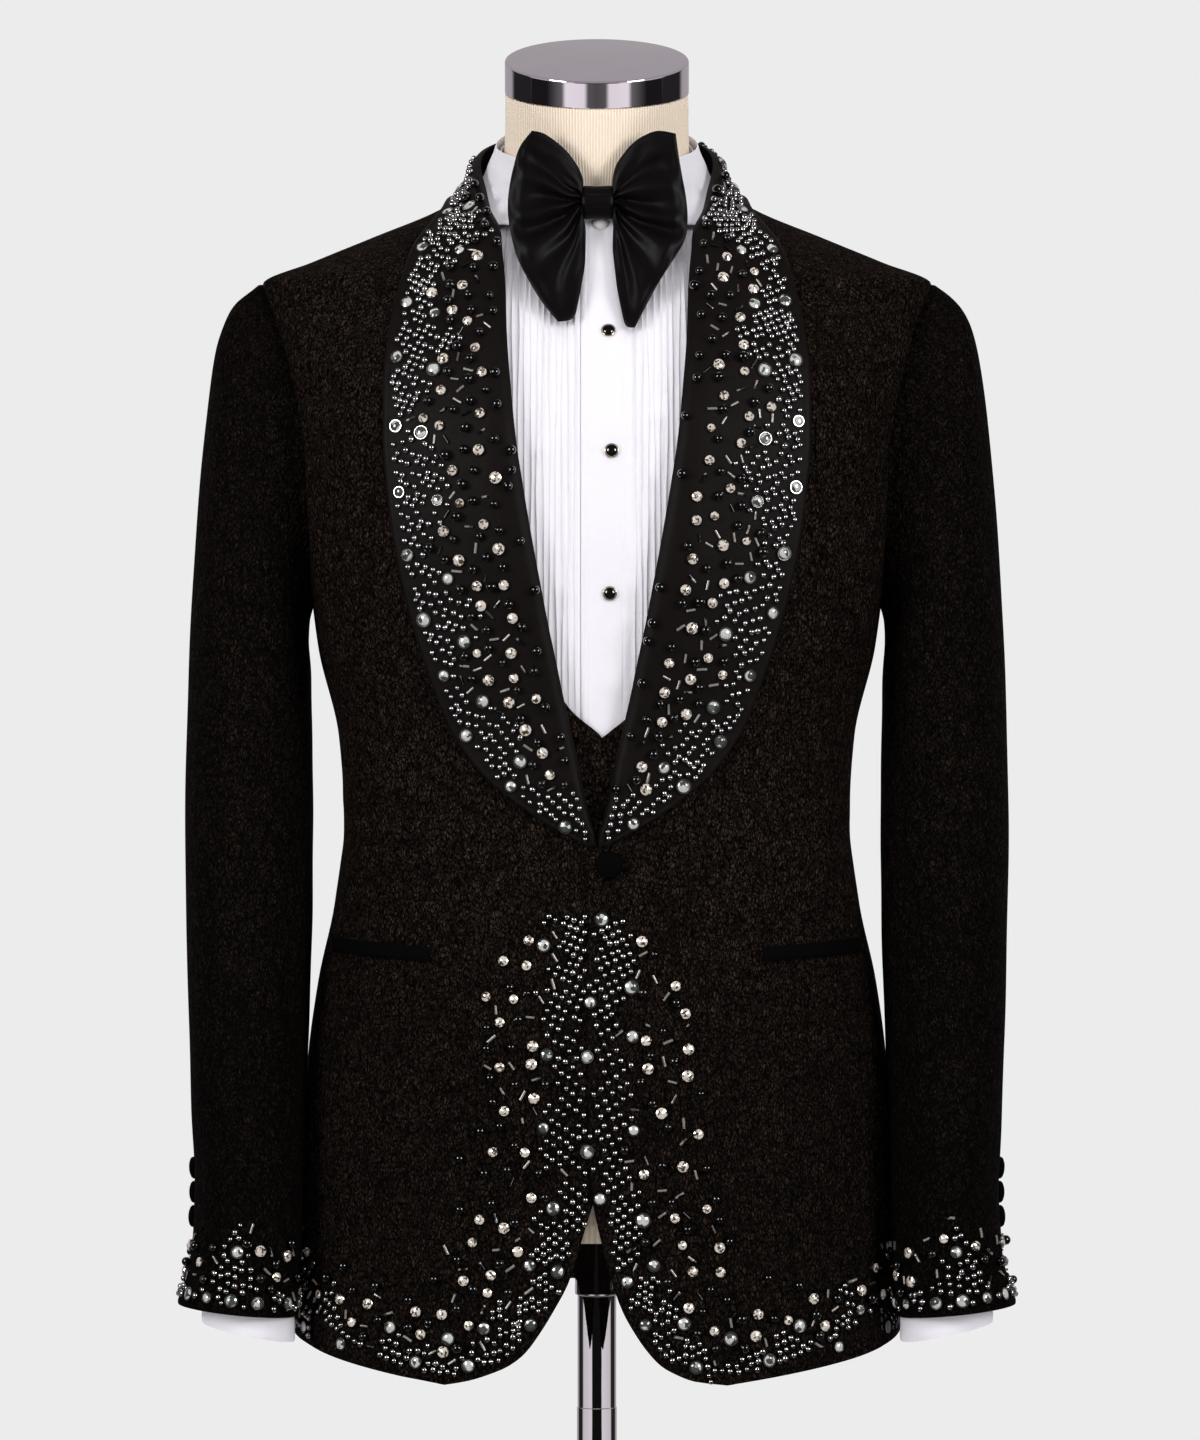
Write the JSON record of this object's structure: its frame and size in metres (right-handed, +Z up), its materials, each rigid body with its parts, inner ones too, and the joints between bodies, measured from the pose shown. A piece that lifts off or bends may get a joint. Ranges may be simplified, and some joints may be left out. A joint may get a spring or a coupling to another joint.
{
  "type": "tuxedo on dress form",
  "caption": "Beaded shawl-lapel tuxedo jacket with waistcoat, tucked dress shirt and bow tie, worn by a limbless dress form on a pole stand.",
  "frame": {"origin": "centre of the stand's round base, on the floor", "axes": "+Z up the pole, the garment's front faces -Y, +X is the wearer's left"},
  "size_m": [0.531, 0.34, 1.156],
  "materials": {
    "jacquard": "matt near-black jacquard with a fine crackled relief",
    "satin": "black silk satin, beaded on the lapels, hem and cuffs",
    "cotton": "white dress cotton, pin-tucked on the fronts",
    "onyx": "polished black dome in a thin pale gold rim",
    "pearl": "clear pearly button",
    "jersey": "cream ribbed jersey",
    "chrome": "mirror chrome",
    "steel": "satin brushed steel"
  },
  "bodies": {
    "root": {"jacket_front_left": "jacquard", "jacket_front_right": "jacquard", "jacket_side_left": "jacquard", "jacket_side_right": "jacquard", "jacket_back_left": "jacquard", "jacket_back_right": "jacquard", "breast_welt_left": "jacquard", "sleeve_top_left": "jacquard", "sleeve_top_right": "jacquard", "sleeve_under_left": "jacquard", "sleeve_under_right": "jacquard", "waistcoat_front_left": "jacquard", "waistcoat_front_right": "jacquard", "lapel_left": "satin", "lapel_right": "satin", "hip_welt_left": "satin", "hip_welt_right": "satin", "jacket_button": "satin", "cuff_button_left_1": "satin", "cuff_button_left_2": "satin", "cuff_button_left_3": "satin", "cuff_button_right_1": "satin", "cuff_button_right_2": "satin", "cuff_button_right_3": "satin", "waistcoat_back": "satin", "bow_wing_left": "satin", "bow_wing_right": "satin", "bow_knot": "satin", "bow_band": "satin", "shirt_bib_left": "cotton", "shirt_bib_right": "cotton", "shirt_front_left": "cotton", "shirt_front_right": "cotton", "shirt_back": "cotton", "shirt_sleeve_left": "cotton", "shirt_sleeve_right": "cotton", "shirt_cuff_left": "cotton", "shirt_cuff_right": "cotton", "shirt_collar_band": "cotton", "shirt_collar_leaf": "cotton", "shirt_stud_1": "onyx", "shirt_stud_2": "onyx", "shirt_stud_3": "onyx", "collar_button": "pearl", "form_torso": "jersey", "neck_cap": "chrome", "pole_socket": "steel", "pole": "steel", "stand_base": "steel"}
  },
  "joints": []
}
